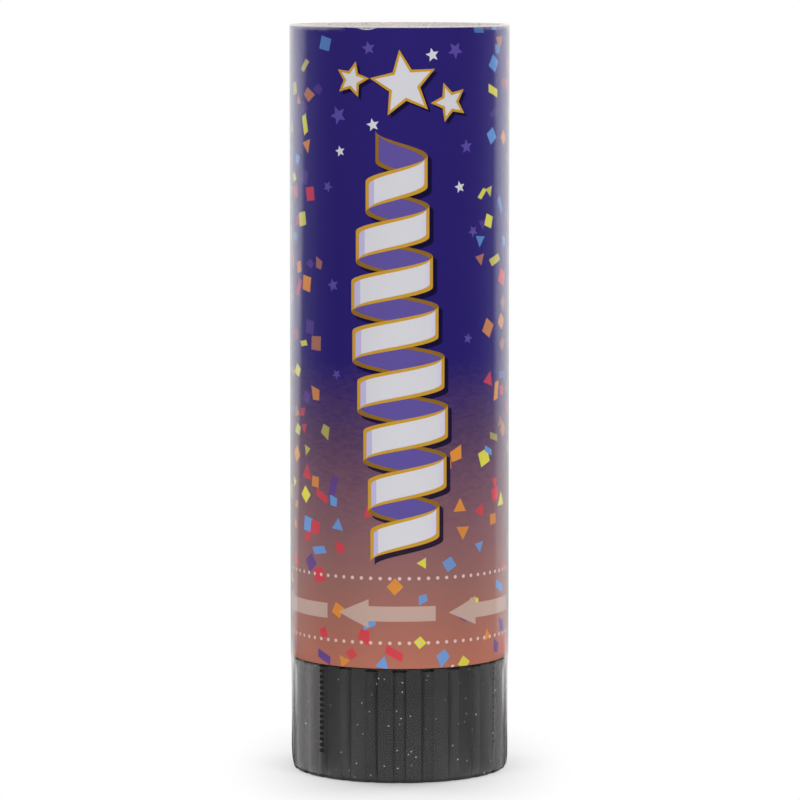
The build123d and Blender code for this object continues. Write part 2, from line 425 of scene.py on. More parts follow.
columns = int(2 * HALF_TURN / CHIP_GRID)
for row in range(int(LABEL_HEIGHT / CHIP_GRID) + 1):
    for column in range(columns):
        u = -HALF_TURN + (column + chips.uniform(*CHIP_JITTER)) * 2 * HALF_TURN / columns
        v = (row + chips.uniform(*CHIP_JITTER)) * CHIP_GRID
        size = chips.uniform(*CHIP_SIZE)
        outline = chip(u, v, size, chips.uniform(0, 2 * math.pi))
        colour = chips.choice(CHIP_COLOURS)
        cover = chips.uniform(*(THIN_COVER if v > BLUE_FROM else FULL_COVER))
        if chips.random() < chip_chance(u, v):
            ink(outline, colour, cover)
print("printed chips:", len(prints))

# %% [markdown]
# ## Turning arrows
# Six plain arrows run round the foot of the label, one to each sixth of a turn, and point the way that
# the base is turned. A dotted rule runs above and below them.

# %% Arrows and rules
ARROW_COUNT = 6
ARROW_V = 12.4
ARROW_TIP = -33.6
ARROW_LENGTH, ARROW_HEAD = 22.8, 7.5
HEAD_HALF, SHAFT_HALF = 3.25, 1.7
ARROW_INK, RULE_INK, RULE_COVER = "#b89d92", "#d4beb9", 0.9
RULE_HEIGHTS = (20.4, 5.8)
DOT_R, DOT_PITCH, DOT_SIDES = 0.42, 2.16, 8
degree = math.pi * LABEL_R / 180
full_turn = 360 * degree


def dot(u, v):
    """The outline of a round dot."""
    turns = [2 * math.pi * i / DOT_SIDES for i in range(DOT_SIDES)]
    return [(u + DOT_R * math.cos(t), v + DOT_R * math.sin(t)) for t in turns]


for i in range(ARROW_COUNT):
    tip = (ARROW_TIP + i * 360 / ARROW_COUNT) * degree
    if tip > HALF_TURN:
        tip -= full_turn
    neck, tail = tip + ARROW_HEAD, tip + ARROW_LENGTH
    shape = [(tip, 0), (neck, -HEAD_HALF), (neck, -SHAFT_HALF), (tail, -SHAFT_HALF)]
    shape += [(tail, SHAFT_HALF), (neck, SHAFT_HALF), (neck, HEAD_HALF)]
    ink([(u, ARROW_V + v) for u, v in shape], ARROW_INK)
    if tail > HALF_TURN:
        ink([(u - full_turn, ARROW_V + v) for u, v in shape], ARROW_INK)
dots = int(2 * HALF_TURN / DOT_PITCH)
for i in range(dots):
    u = -HALF_TURN + (i + 0.5) * 2 * HALF_TURN / dots
    for v in RULE_HEIGHTS:
        ink(dot(u, v), RULE_INK, RULE_COVER)
print("arrows:", ARROW_COUNT, "dots:", len(RULE_HEIGHTS) * dots)

# %% [markdown]
# ## Streamers and stars
# The main design is a coiled paper streamer, white with a gold line round it, under a few stars. A coil
# drawn flat is a row of half turns: the far halves go down first in a dull violet, and the near halves
# over them in white. Each half is the same band made a little larger in gold, and again in near-black,
# moved down and right, as its shadow.

# %% Coiled streamers
WHITE_INK, GOLD_INK, SHADOW_INK, SHADOW_COVER = "#cdccd1", "#c0932f", "#0f0a2c", 0.92
SHADOW_DROP = 1.3
STEPS_PER_TURN = 28
FIRST_SHADE, LAST_SHADE = 0.09, 0.42


def coil_point(coil, turn, rise, grow):
    """A point of a coil, so many turns up and so far above the band's middle line."""
    share = turn / coil["turns"]
    narrowing = 0.55 + 0.45 * math.sin(math.pi * min(1.0, 0.12 + 0.95 * share))
    reach = coil["reach"] * narrowing + grow
    sway = coil["sway"] * math.sin(2 * math.pi * share + 0.6)
    u = coil["u"] + sway + reach * math.sin(2 * math.pi * turn)
    return (u, coil["foot"] + coil["pitch"] * turn + rise)


def coil_slice(coil, start, end, grow=0.0, drop=0.0):
    """The band between two places on the coil, its outline grown by so much and moved down and right."""
    steps = max(4, round(STEPS_PER_TURN * (end - start)))
    line = [start + (end - start) * i / steps for i in range(steps + 1)]
    half = coil["band"] / 2 + grow
    upper = [coil_point(coil, t, half, grow) for t in line]
    lower = [coil_point(coil, t, -half, grow) for t in line]
    return [(u + drop, v - drop) for u, v in upper + lower[::-1]]


def streamer(**coil):
    """Prints a coil: its shadow, then the far halves, then the near halves."""
    line = coil["line"]
    halves = [i / 2 - 0.25 for i in range(2 * coil["turns"])]
    for start in halves:
        ink(coil_slice(coil, start, start + 0.5, line, SHADOW_DROP * line), SHADOW_INK, SHADOW_COVER)
    for start in halves[1::2]:
        ink(coil_slice(coil, start, start + 0.5, line), "#8a6420")
        ink(coil_slice(coil, start, start + 0.5), "#5d4f96")
    for start in halves[::2]:
        ink(coil_slice(coil, start, start + 0.5, line), GOLD_INK)
        ink(coil_slice(coil, start, start + 0.5), WHITE_INK)
        ink(coil_slice(coil, start, start + FIRST_SHADE), "#b5aed0")
        ink(coil_slice(coil, start + LAST_SHADE, start + 0.5), "#cbc6da")


streamer(u=0.0, foot=30.5, turns=8, reach=9.6, pitch=11.2, band=5.4, line=0.75, sway=1.6)
for side in (-1, 1):
    streamer(u=side * 54.0, foot=33.0, turns=11, reach=4.4, pitch=8.6, band=3.2, line=0.45, sway=side * 1.5)
print("printed shapes so far:", len(prints))

# %% Stars
STAR_WAIST = 0.45
POINT_GROWTH = 1.7
VIOLET_STARS = [(-7.0, 139.0, 1.6, 10), (13.0, 138.5, 2.0, 40), (-14.5, 124.0, 2.2, 25),
                (16.0, 117.0, 1.7, 5), (-17.5, 108.0, 1.4, 50), (18.0, 98.0, 1.5, 30),
                (-16.0, 86.0, 1.6, 15), (16.5, 74.0, 1.3, 60), (-15.0, 66.0, 1.2, 35)]
GOLD_STARS = [(1.0, 131.0, 6.6, 8), (-11.0, 132.0, 3.0, -14), (11.6, 127.0, 3.4, 20)]
WHITE_STARS = [(-6.0, 122.0, 1.5), (7.4, 137.5, 1.6), (-14.0, 116.0, 1.3), (14.2, 108.0, 1.4)]
BACK_STARS = [(-54.0, 136.0), (54.0, 136.0), (-70.0, 120.0), (70.0, 120.0)]
NICK = [(12.0, -0.1), (12.9, -0.1), (12.7, 0.5), (12.15, 0.4)]


def star(u, v, radius, turn, grow=0.0):
    """A five-pointed star, its outline grown by so much."""
    reaches = (radius + POINT_GROWTH * grow, STAR_WAIST * radius + grow)
    points = []
    for i in range(10):
        angle = math.radians(90 + 36 * i + turn)
        reach = reaches[i % 2]
        points.append((u + reach * math.cos(angle), v + reach * math.sin(angle)))
    return points


def gold_star(u, v, radius, turn, line=0.7):
    """A white star with a gold line and a shadow."""
    ink(star(u + line, v - line, radius, turn, line), SHADOW_INK, SHADOW_COVER)
    ink(star(u, v, radius, turn, line), GOLD_INK)
    ink(star(u, v, radius, turn), WHITE_INK)


for u, v, radius, turn in VIOLET_STARS:
    ink(star(u, v, radius, turn), "#5a4a9c", 0.9)
for u, v, radius, turn in GOLD_STARS:
    gold_star(u, v, radius, turn)
for u, v, radius in WHITE_STARS:
    ink(star(u, v, radius, 12), WHITE_INK)
for u, v in BACK_STARS:
    gold_star(u, v, 3.6, 6, 0.5)
# A nick in the label's lower edge shows the bare paper.
ink(NICK, "#d2d1bf")
print("printed shapes in all:", len(prints))

# %% [markdown]
# ## From outlines to one mesh
# A constrained triangulation takes a grid of plain quads and all the outlines, and cuts the sheet along
# every one of them. It also says which outlines each triangle lies in, and the last one printed is what
# shows. The grid keeps every triangle narrow, so the wrapped sheet is round. The colours go into an
# attribute of the mesh.

# %% Cut the sheet
GRID_COLUMNS, GRID_ROWS = 200, 14
INSIDE_FACES, SAME_POINT = 1, 1e-5
flat_points, flat_faces = [], []
for j in range(GRID_ROWS + 1):
    for i in range(GRID_COLUMNS + 1):
        u = -HALF_TURN + 2 * HALF_TURN * i / GRID_COLUMNS
        flat_points.append(Vector((u, LABEL_HEIGHT * j / GRID_ROWS)))
for j in range(GRID_ROWS):
    for i in range(GRID_COLUMNS):
        corner = j * (GRID_COLUMNS + 1) + i
        flat_faces.append([corner, corner + 1, corner + GRID_COLUMNS + 2, corner + GRID_COLUMNS + 1])
grid_count = len(flat_faces)
for outline, _ in prints:
    first = len(flat_points)
    flat_points += [Vector(p) for p in outline]
    flat_faces.append(list(range(first, first + len(outline))))
cut = geometry.delaunay_2d_cdt(flat_points, [], flat_faces, INSIDE_FACES, SAME_POINT, True)
cut_points, cut_faces, owners = cut[0], cut[2], cut[5]
kept = []
for face, owner in zip(cut_faces, owners):
    if min(owner, default=grid_count) < grid_count:
        kept.append((face, max(owner)))
used = sorted({i for face, _ in kept for i in face})
renumbered = {old: new for new, old in enumerate(used)}
print("triangles:", len(kept), "points:", len(used))

# %% [markdown]
# ## Coated paper, offset printed
# The ground is an airbrushed fade from blue-violet to a dull coral, sprayed in fine drops, so the fade
# is grainy where the two colours meet. The ink has a low even gloss of its own; most of the shine comes
# from the film above it.

# %% Label material
SPRAY_MM, SPRAY_SPREAD = 1.3, 0.2
FADE_STOPS = [(0.12, "#000000"), (0.28, "#ffffff"), (0.42, "#ffffff"), (0.56, "#000000")]
GROUND_STOPS = [(0.0, "#ac6b58"), (0.13, "#92655f"), (0.25, "#785560"), (0.36, "#563d5d"),
                (0.48, "#261b69"), (1.0, "#2a1f6d")]

printed_paper, add = start_material("coated_paper_offset_printed")
place = add("ShaderNodeTexCoord").outputs["Object"]
height = add("ShaderNodeSeparateXYZ", {0: place})
climb = add("ShaderNodeMapRange", {
    "Value": height.outputs["Z"],
    "From Min": LABEL_FOOT * MM,
    "From Max": (LABEL_FOOT + LABEL_HEIGHT) * MM,
})
flat = add("ShaderNodeMapping", {"Vector": place, "Scale": (0.6, 0.6, 1.6)})
spray = add("ShaderNodeTexNoise", {
    "Vector": flat,
    "Scale": per_metre(SPRAY_MM),
    "Detail": 6.0,
    "Roughness": 0.75,
})
drops = add("ShaderNodeMath", {0: spray, 1: 0.5}, operation="SUBTRACT")
meet = add("ShaderNodeValToRGB", {0: climb}, FADE_STOPS)
amount = add("ShaderNodeMath", {0: meet, 1: SPRAY_SPREAD}, operation="MULTIPLY")
jitter = add("ShaderNodeMath", {0: drops, 1: amount}, operation="MULTIPLY")
level = add("ShaderNodeMath", {0: climb, 1: jitter}, operation="ADD")
ground = add("ShaderNodeValToRGB", {0: level}, GROUND_STOPS)
layer = add("ShaderNodeVertexColor", layer_name="ink")
colours = {0: layer.outputs["Alpha"], 6: ground, 7: layer.outputs["Color"]}
printed = add("ShaderNodeMix", colours, data_type="RGBA").outputs[2]
gloss = add("ShaderNodeMapRange", {"Value": spray, "To Min": 0.42, "To Max": 0.55})
inked = add("ShaderNodeBsdfPrincipled", {
    "Base Color": printed,
    "Roughness": gloss,
    "Specular IOR Level": 0.1,
})
add("ShaderNodeOutputMaterial", {"Surface": inked})

cut_edge, add = start_material("bare_paper_cut_edge")
fibre = add("ShaderNodeTexNoise", {"Scale": per_metre(0.5), "Detail": 4.0})
tint = add("ShaderNodeValToRGB", {0: fibre}, [(0.3, "#d8d4cc"), (0.7, "#efece6")])
bare = add("ShaderNodeBsdfPrincipled", {"Base Color": tint, "Roughness": 0.85})
add("ShaderNodeOutputMaterial", {"Surface": bare})
print("paper:", printed_paper.name, "and", cut_edge.name)

# %% Wrap the label
NO_INK = (0.0, 0.0, 0.0, 0.0)
wrapped = [round_tube(*cut_points[i]) for i in used]
label_faces = [[renumbered[i] for i in face] for face, _ in kept]
label = new_piece("label_sheet", wrapped, label_faces, [printed_paper, cut_edge])
inks = label.data.color_attributes.new("ink", "FLOAT_COLOR", "CORNER")
for polygon, (_, top) in zip(label.data.polygons, kept):
    shown = NO_INK if top < grid_count else prints[top - grid_count][1]
    for loop in polygon.loop_indices:
        inks.data[loop].color = shown
thicken(label, LABEL_WALL, 1)
mount(label, "barrel", "label_paper", "printed_label")

# %% [markdown]
# ## Shrink film
# The sleeve is a clear polyolefin film, shrunk with hot air. It lies tight on the label, dips a little where
# the label ends, hangs loose over the flutes of the base, and crinkles where it turns in over the rim. It is
# one grid of points round the axis, moved in or down by small waves, and never out, so it stays inside its
# CAD solid. The tear line on the base is a row of real slits: their quads are left out before the sheet gets
# its thickness. A hot comb cuts such slits. The quads above and below each one get a near-black material, a
# painted shade for the shadow in and beside the slit, which looks dark beside the milky film.

# %% Film rows
film_low, film_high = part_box("shrink_film")
FILM_R = film_high.x / MM
FILM_TOP = film_high.z / MM
FILM_FOOT = film_low.z / MM
SKIRT_R = FILM_R - 0.1
FILM_WALL = 0.05
HEM_R = 23.5
FILM_COLUMNS = 360
# The third value is the height of the painted-shade quads above and below each slit.
SLIT_PITCH, SLIT_OPEN, SLIT_SHADE_HEIGHT = 1.3, 0.14, 0.24
SLIT_FOOT, SLIT_COUNT = 6.0, 15
STRAIGHT_ROWS, STRAIGHT_INSET, STRAIGHT_SHORT = 36, 1.5, 4.0
RIM_ROWS, RIM_STEP, RIM_DEPTH = 12, 0.16, 2.2
FOOT_TURN = [(0.14, 0.02), (0.07, 0.7), (0.01, 1.6), (0.0, 2.6), (0.0, 4.2)]
LABEL_STEP = [(SKIRT_R + 0.01, -0.6), (SKIRT_R + 0.05, -0.1), (FILM_R - 0.01, 0.5)]
RIM_TURN = [(0.02, 0.28), (0.09, 0.12), (0.24, 0.03), (0.5, 0.0), (0.85, 0.0)]

film_rows = [(SKIRT_R - inset, FILM_FOOT + rise) for inset, rise in FOOT_TURN]
first_slit_row = len(film_rows)
slit_rises = (0, SLIT_SHADE_HEIGHT, SLIT_SHADE_HEIGHT + SLIT_OPEN, 2 * SLIT_SHADE_HEIGHT + SLIT_OPEN)
for i in range(SLIT_COUNT):
    foot = SLIT_FOOT + i * SLIT_PITCH
    film_rows += [(SKIRT_R, foot + rise) for rise in slit_rises]
film_rows += [(radius, LABEL_FOOT + rise) for radius, rise in LABEL_STEP]
straight = FILM_TOP - LABEL_FOOT - STRAIGHT_SHORT
for i in range(STRAIGHT_ROWS):
    film_rows.append((FILM_R, LABEL_FOOT + STRAIGHT_INSET + straight * i / (STRAIGHT_ROWS - 1)))
film_rows += [(FILM_R, FILM_TOP - RIM_DEPTH + RIM_STEP * i) for i in range(RIM_ROWS)]
film_rows += [(FILM_R - inset, FILM_TOP - drop) for inset, drop in RIM_TURN]
film_rows += [(HEM_R + 0.25, FILM_TOP), (HEM_R, FILM_TOP)]
print("film rows:", len(film_rows), "columns:", FILM_COLUMNS)

# %% [markdown]
# The waves are sums of sines whose phases come from a seeded generator, so each run gives the same
# creases. Over the base the film sinks a little into each flute, and its hem is drawn in, most of all on
# the left.

# %% Film waves
creases = random.Random(5)
slow, pleats = [], []
for _ in range(5):
    count = creases.choice([7, 11, 13, 17, 23])
    slow.append((count, creases.uniform(0, 6.28), creases.uniform(25, 70)))
for _ in range(6):
    pleats.append((creases.randint(20, 70), creases.uniform(0, 6.28), creases.uniform(0.4, 1.0)))
GRIP_R = max(vertex.co.xy.length for vertex in nodes["twist_grip"].data.vertices) / MM
FLUTES = 24
LOOSE_FROM = LABEL_FOOT - 0.5
WAVE_DEPTH, FLUTE_DEPTH, FLUTE_EASE = 0.025, 0.09, 3.0
RIM_PLEAT, RIM_REACH = 0.03, 1.6
HEM_PLEAT, HEM_REACH = 0.12, 6.0
HEM_PULL, PULL_ANGLE, PULL_HALF = 0.3, -90, 50
TURNED_IN, TURNED_FALL = 0.3, 0.10


def swell(value, middle, half):
    """A smooth bump of height 1 at the middle that ends at half on either side."""
    return max(0.0, 1 - ((value - middle) / half) ** 2)


def crinkle(turn):
    """The fine pleats round the rim and the foot, from about -1 to 1."""
    return sum(size * math.sin(k * turn + phase) for k, phase, size in pleats) / len(pleats)


def film_point(angle, radius, z):
    """A point of the film at an angle in degrees from the front, right positive."""
    turn = math.radians(angle)
    wave = sum(math.sin(k * turn + phase + z / length) for k, phase, length in slow) / len(slow)
    pleat = 1 + crinkle(turn)
    inward = WAVE_DEPTH * (1 + wave) + RIM_PLEAT * max(0.0, 1 - (FILM_TOP - z) / RIM_REACH) * pleat
    if z < LOOSE_FROM:
        hang = min(1.0, (LOOSE_FROM - z) / FLUTE_EASE)
        inward += hang * FLUTE_DEPTH * (1 + math.cos(FLUTES * turn))
        hem = HEM_PLEAT * pleat + HEM_PULL * swell(angle, PULL_ANGLE, PULL_HALF)
        inward += hem * max(0.0, 1 - z / HEM_REACH) ** 2
    fall = TURNED_FALL * pleat if radius < FILM_R - TURNED_IN else 0.0
    reach = radius - inward
    if z < LABEL_FOOT:
        reach = max(reach, GRIP_R + 2 * FILM_WALL)
    return (reach * math.sin(turn), -reach * math.cos(turn), z - fall)


print("flutes under the film:", FLUTES)

# %% [markdown]
# Fog and haze are two more values at each point of the film: where it lies double, is crushed, or is pulled
# white, it scatters light and looks milky. Fog is along the hem at the rim and in a small loop of spare film
# below it. Along the hem's edge and as a thin line round the loop it is also a painted highlight, a white
# line where the fold catches the light. Haze is over the base, thin in front and thick beside the two tears.

# %% Film fog and haze
TEAR_ANGLE, TEAR_HALF = -45.5, 1.6
SECOND_TEAR, SECOND_HALF = 59.5, 0.6
# The hem, edge and loop values are fog and also a painted highlight: a white line along the hem's edge and
# round the loop.
HEM_FOG_AND_HIGHLIGHT, HEM_FROM = 0.3, 0.6
EDGE_FOG_AND_HIGHLIGHT, EDGE_DEPTH = 0.45, 0.45
LEFT_FOLD, RIGHT_FOLD = (-52, 24), (66, 26)
LEFT_FOG, RIGHT_FOG = 0.26, 0.20
FOLD_DEPTH, FOLD_PLEAT = 1.2, 0.4
LOOP_ANGLE, LOOP_HALF, LOOP_DEPTH = -17.0, 6.0, 0.6
LOOP_FOG_AND_HIGHLIGHT, LOOP_BELOW, LOOP_LINE = 0.5, 0.1, 0.18
THIN_HAZE, RIGHT_HAZE = 0.0095, 0.009
THIN_STARTS, RIGHT_HAZE_STARTS = (12, 30), (36, 52)
CRUSHED_HAZE, CRUSHED_RIPPLE, CRUSHED_COUNT = 0.043, 0.003, 31
TORN_HAZE, TORN_RIPPLE = 0.028, 0.006
HAZE_ENDS = (66, 84)


def film_fog_and_highlight(angle, z):
    """How milky the film is at a place, from 0 to 1; along the hem's edge and the loop's line this is also a
    painted highlight.
    """
    depth = FILM_TOP - z
    fog_and_highlight = EDGE_FOG_AND_HIGHLIGHT * max(0.0, 1 - depth / EDGE_DEPTH)
    folded = LEFT_FOG * swell(angle, *LEFT_FOLD) + RIGHT_FOG * swell(angle, *RIGHT_FOLD)
    fold_depth = FOLD_DEPTH + FOLD_PLEAT * crinkle(math.radians(angle))
    fog_and_highlight = max(fog_and_highlight, folded * max(0.0, 1 - depth / fold_depth))
    if abs(angle - LOOP_ANGLE) < LOOP_HALF:
        sag = LOOP_DEPTH * swell(angle, LOOP_ANGLE, LOOP_HALF)
        fog_and_highlight = max(fog_and_highlight, LOOP_FOG_AND_HIGHLIGHT * swell(depth, sag + LOOP_BELOW, LOOP_LINE))
    return fog_and_highlight


def film_haze(angle, z):
    """How hazy the loose film over the base is, seen square on."""
    if z > LABEL_FOOT - 0.2:
        return 0.0
    haze = THIN_HAZE * smooth_step(abs(angle), *THIN_STARTS)
    haze += RIGHT_HAZE * smooth_step(angle, *RIGHT_HAZE_STARTS)
    if angle < TEAR_ANGLE:
        crushed = CRUSHED_HAZE + CRUSHED_RIPPLE * math.sin(CRUSHED_COUNT * math.radians(angle))
        haze = max(haze, crushed * smooth_step(TEAR_ANGLE - angle, 0.4, TEAR_HALF))
    if angle > SECOND_TEAR:
        haze = TORN_HAZE + TORN_RIPPLE * math.sin(3.0 * z - 0.7 * angle)
    return haze * (1 - smooth_step(abs(angle), *HAZE_ENDS))


print("haze beside the tear line:", round(film_haze(-60, 10), 3))

# %% [markdown]
# ## Clear polyolefin, hot-air shrunk
# A clear film shows itself only by what it mirrors: little when seen square on, and much along the sides,
# where the line of sight grazes it. The fourth power of the facing value is a good rule for that, and unlike
# the Fresnel node it is the same on both sides of the sheet. The fog and highlight value adds a thin white
# scatter, and a fine noise breaks it up like crushed film. Along the hem's edge and round the loop this
# white is also a painted highlight. Haze is the same scatter where the film hangs loose over the base: a
# slanting line of sight crosses more of it, so its value is divided by how square on it is seen.

# %% Film material
RIPPLE_MM, CRUSH_MM = 6.0, 0.7
GRAZING_POWER, LEAST_MIRROR = 4.0, 0.006
LEAST_SQUARE_ON = 0.25

clear_film, add = start_material("polyolefin_film_shrunk")
place = add("ShaderNodeTexCoord").outputs["Object"]
stretch = add("ShaderNodeMapping", {"Vector": place, "Scale": (1.0, 1.0, 0.12)})
ripples = add("ShaderNodeTexNoise", {"Vector": stretch, "Scale": per_metre(RIPPLE_MM), "Detail": 2.0})
bump = add("ShaderNodeBump", {"Height": ripples, "Strength": 0.12, "Distance": 0.3 * MM})
facing = add("ShaderNodeLayerWeight", {"Blend": 0.5, "Normal": bump}).outputs["Facing"]
grazing = add("ShaderNodeMath", {0: facing, 1: GRAZING_POWER}, operation="POWER")
mirror = add("ShaderNodeMapRange", {"Value": grazing, "To Min": LEAST_MIRROR, "To Max": 1.0})
through = add("ShaderNodeBsdfTransparent")
shine = add("ShaderNodeBsdfGlossy", {"Roughness": 0.04, "Normal": bump})
clear = add("ShaderNodeMixShader", {0: mirror, 1: through, 2: shine})

fog_and_highlight = add("ShaderNodeAttribute", attribute_name="fog_and_highlight").outputs["Fac"]
haze = add("ShaderNodeAttribute", attribute_name="haze").outputs["Fac"]
square_on = add("ShaderNodeMath", {0: 1.0, 1: facing}, operation="SUBTRACT")
square_on = add("ShaderNodeMath", {0: square_on, 1: LEAST_SQUARE_ON}, operation="MAXIMUM")
slanted = add("ShaderNodeMath", {0: haze, 1: square_on}, operation="DIVIDE")
both = add("ShaderNodeMath", {0: fog_and_highlight, 1: slanted}, operation="ADD")
crushed = add("ShaderNodeTexNoise", {"Vector": place, "Scale": per_metre(CRUSH_MM), "Detail": 3.0})
patchy = add("ShaderNodeMapRange", {
    "Value": crushed,
    "From Min": 0.3,
    "From Max": 0.7,
    "To Min": 0.7,
    "To Max": 1.15,
})
milky = add("ShaderNodeMath", {0: both, 1: patchy}, operation="MULTIPLY")
scatter = add("ShaderNodeBsdfDiffuse", {"Color": linear("#e7e3e4")})
film_shader = add("ShaderNodeMixShader", {0: milky, 1: clear, 2: scatter})
add("ShaderNodeOutputMaterial", {"Surface": film_shader})

# Painted shade: a near-black material for the quads above and below each slit, standing in for the shadow in
# and beside the slit.
slit_painted_shade, add = start_material("polyolefin_film_slit_painted_shade")
slit_shade_grain = add("ShaderNodeTexNoise", {"Scale": per_metre(0.4), "Detail": 3.0})
slit_shade_tone = add("ShaderNodeValToRGB", {0: slit_shade_grain}, [(0.35, "#0e0e0f"), (0.65, "#1d1c1c")])
slit_shade_shader = add("ShaderNodeBsdfPrincipled", {"Base Color": slit_shade_tone, "Roughness": 0.6, "Specular IOR Level": 0.1})
add("ShaderNodeOutputMaterial", {"Surface": slit_shade_shader})
print("film:", clear_film.name, "and", slit_painted_shade.name)

# %% Film sleeve
ROWS_PER_SLIT = len(slit_rises)
LOWER_SHADE_ROW, OPENING, UPPER_SHADE_ROW, BRIDGE = range(ROWS_PER_SLIT)
film_points, film_fogs_and_highlights, film_hazes, film_faces, slit_shade_faces = [], [], [], [], []
for radius, z in film_rows:
    for i in range(FILM_COLUMNS):
        angle = -180 + 360 * i / FILM_COLUMNS
        film_points.append(film_point(angle, radius, z))
        film_fogs_and_highlights.append(film_fog_and_highlight(angle, z) if radius > FILM_R - HEM_FROM else HEM_FOG_AND_HIGHLIGHT)
        film_hazes.append(film_haze(angle, z))
slit_rows = range(first_slit_row, first_slit_row + ROWS_PER_SLIT * SLIT_COUNT)
for j in range(len(film_rows) - 1):
    for i in range(FILM_COLUMNS):
        angle = -180 + 360 * (i + 0.5) / FILM_COLUMNS
        torn = abs(angle - TEAR_ANGLE) < TEAR_HALF or abs(angle - SECOND_TEAR) < SECOND_HALF
        quad = (j - first_slit_row) % ROWS_PER_SLIT if torn and j in slit_rows else BRIDGE
        if quad == OPENING:
            continue
        # The quads above and below a slit take the painted-shade material.
        if quad in (LOWER_SHADE_ROW, UPPER_SHADE_ROW):
            slit_shade_faces.append(len(film_faces))
        k = (i + 1) % FILM_COLUMNS
        here, above = j * FILM_COLUMNS, (j + 1) * FILM_COLUMNS
        film_faces.append((here + i, here + k, above + k, above + i))
film = new_piece("film_sleeve", film_points, film_faces, [clear_film, slit_painted_shade])
for i in slit_shade_faces:
    film.data.polygons[i].material_index = 1
film.data.attributes.new("fog_and_highlight", "FLOAT", "POINT").data.foreach_set("value", film_fogs_and_highlights)
film.data.attributes.new("haze", "FLOAT", "POINT").data.foreach_set("value", film_hazes)
thicken(film, FILM_WALL)
mount(film, "barrel", "clear_film", "shrink_film")

# %% [markdown]
# ## Moulded polypropylene
# The base is black polypropylene from a fine-eroded mould, which gives it a satin, slightly uneven skin,
# and it has picked up some dust, because it holds a static charge. The pusher, the stem and the socket
# are the same plastic in other colours. They differ in colour, grain, gloss and dust, so one recipe
# makes them all. The specks are coarser than most real dust, so that they show.

# %% Plastic parts
FLOW_MM, DUST_PITCH_MM, DUST_R_MM = 9.0, 1.8, 0.198


def moulded_plastic(name, dark, light, grain_mm, rough, dust):
    """Satin plastic with a mould grain, flow streaks, and specks of dust."""
    material, add = start_material(name)
    place = add("ShaderNodeTexCoord").outputs["Object"]
    grain = add("ShaderNodeTexNoise", {"Vector": place, "Scale": per_metre(grain_mm), "Detail": 4.0})
    flow = add("ShaderNodeTexNoise", {"Vector": place, "Scale": per_metre(FLOW_MM), "Detail": 2.0})
    body = add("ShaderNodeValToRGB", {0: flow}, [(0.35, dark), (0.65, light)])
    speck = add("ShaderNodeTexVoronoi", {"Vector": place, "Scale": per_metre(DUST_PITCH_MM)})
    near = add("ShaderNodeMath", {0: speck, 1: DUST_R_MM / DUST_PITCH_MM}, operation="LESS_THAN")
    chance = add("ShaderNodeSeparateColor", {0: speck.outputs["Color"]})
    some = add("ShaderNodeMath", {0: chance.outputs[0], 1: dust}, operation="LESS_THAN")
    dusty = add("ShaderNodeMath", {0: near, 1: some}, operation="MULTIPLY")
    pale = add("ShaderNodeMapRange", {"Value": chance.outputs[1], "To Min": 0.15, "To Max": 0.9})
    dusty = add("ShaderNodeMath", {0: dusty, 1: pale}, operation="MULTIPLY")
    skin = add("ShaderNodeMix", {0: dusty, 6: body, 7: linear("#b9b8b4")}, data_type="RGBA")
    satin = add("ShaderNodeMapRange", {"Value": grain, "To Min": rough - 0.06, "To Max": rough + 0.08})
    bump = add("ShaderNodeBump", {"Height": grain, "Strength": 0.1, "Distance": 0.03 * MM})
    shader = add("ShaderNodeBsdfPrincipled", {
        "Base Color": skin.outputs[2],
        "IOR": 1.49,
        "Roughness": satin,
        "Normal": bump,
    })
    add("ShaderNodeOutputMaterial", {"Surface": shader})
    return material


def dress(node, material):
    """Gives a CAD node a material of its own."""
    mesh = nodes[node].data
    mesh.materials.clear()
    mesh.materials.append(material)
    print(node, "is", material.name)


dress("twist_grip", moulded_plastic("black_polypropylene_fine_eroded", "#1c1c1d", "#222223", 0.5, 0.34, 0.8))
dress("spring_socket", moulded_plastic("dark_grey_polypropylene", "#3a3b3d", "#45464a", 0.6, 0.5, 0.05))
milk_white = moulded_plastic("natural_polypropylene", "#d6d3ca", "#e2dfd6", 0.6, 0.38, 0.03)
dress("pusher_cup", milk_white)
dress("latch_stem", milk_white)

# %% [markdown]
# ## Board and card
# The barrel is a spiral-wound tube of grey-beige board, and the disc and the wad are punched from
# thicker board. Recycled board is never one colour: it holds darker and lighter fibres, and its surface
# is slightly fluffy. A fine noise carries the fibres, and a few larger flecks sit between them.

# %% Board parts
FIBRE_MM = 0.8


def recycled_board(name, dark, light, fleck, fleck_mm):
    """Matt board with fibres and flecks."""
    material, add = start_material(name)
    place = add("ShaderNodeTexCoord").outputs["Object"]
    along = add("ShaderNodeMapping", {"Vector": place, "Scale": (1.0, 1.0, 2.5)})
    fibre = add("ShaderNodeTexNoise", {
        "Vector": along,
        "Scale": per_metre(FIBRE_MM),
        "Detail": 6.0,
        "Roughness": 0.7,
    })
    body = add("ShaderNodeValToRGB", {0: fibre}, [(0.32, dark), (0.68, light)])
    spot = add("ShaderNodeTexNoise", {"Vector": place, "Scale": per_metre(fleck_mm), "Detail": 1.0})
    few = add("ShaderNodeMapRange", {"Value": spot, "From Min": 0.66, "From Max": 0.72})
    tint = add("ShaderNodeMix", {0: few, 6: body, 7: linear(fleck)}, data_type="RGBA")
    bump = add("ShaderNodeBump", {"Height": fibre, "Strength": 0.4, "Distance": 0.08 * MM})
    shader = add("ShaderNodeBsdfPrincipled", {
        "Base Color": tint.outputs[2],
        "Roughness": 0.88,
        "Specular IOR Level": 0.25,
        "Normal": bump,
    })
    add("ShaderNodeOutputMaterial", {"Surface": shader})
    return material


